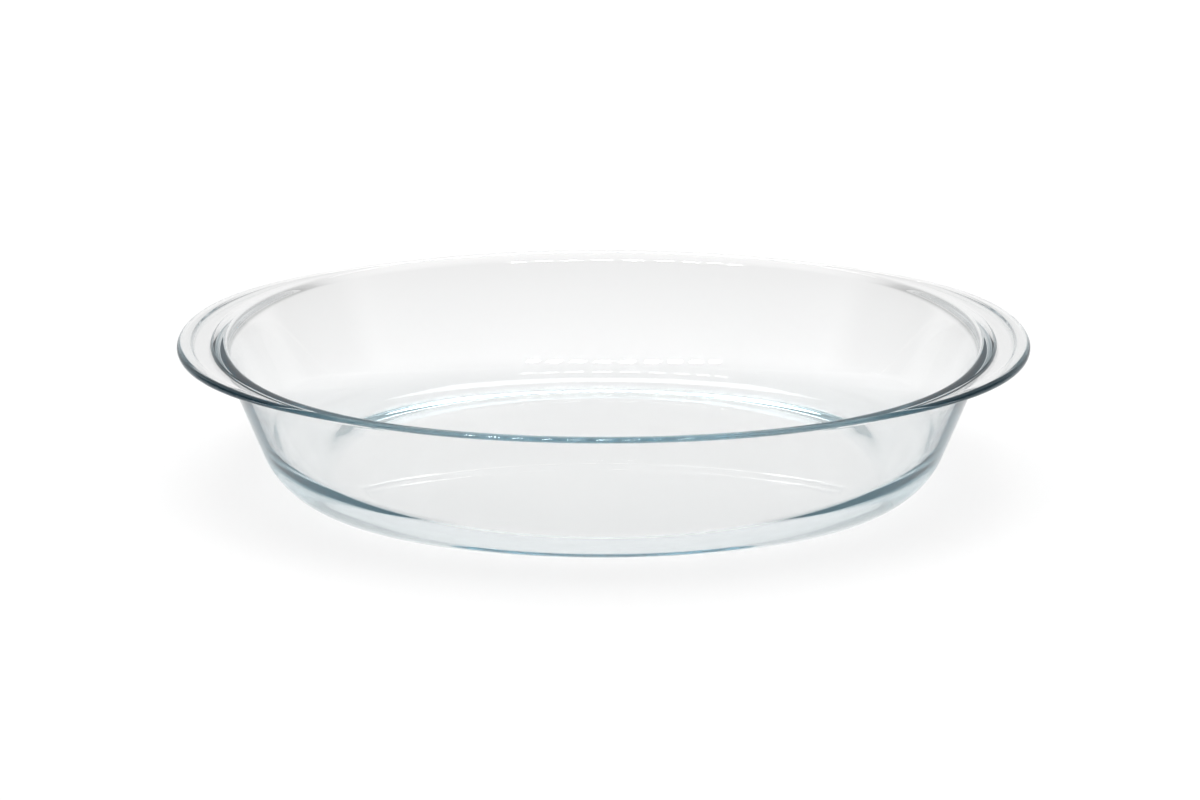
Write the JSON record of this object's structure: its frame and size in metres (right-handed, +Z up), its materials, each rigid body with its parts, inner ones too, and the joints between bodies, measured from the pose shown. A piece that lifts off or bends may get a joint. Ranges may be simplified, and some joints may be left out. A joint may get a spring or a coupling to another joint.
{
  "type": "oval baking dish",
  "caption": "Oval clear glass baking dish in one pressed piece, with sloping walls, a thin rolled lip and a flat handle at each end.",
  "frame": {"origin": "on the table, under the middle of the dish", "axes": "+X along the length to one handle, +Y across, +Z up out of the open bowl"},
  "size_m": [0.35, 0.24, 0.062],
  "materials": {
    "dish_glass": "smooth clear pressed soda-lime glass, blue-green where it is looked along"
  },
  "bodies": {
    "root": {"baking_dish": "dish_glass"}
  },
  "joints": []
}
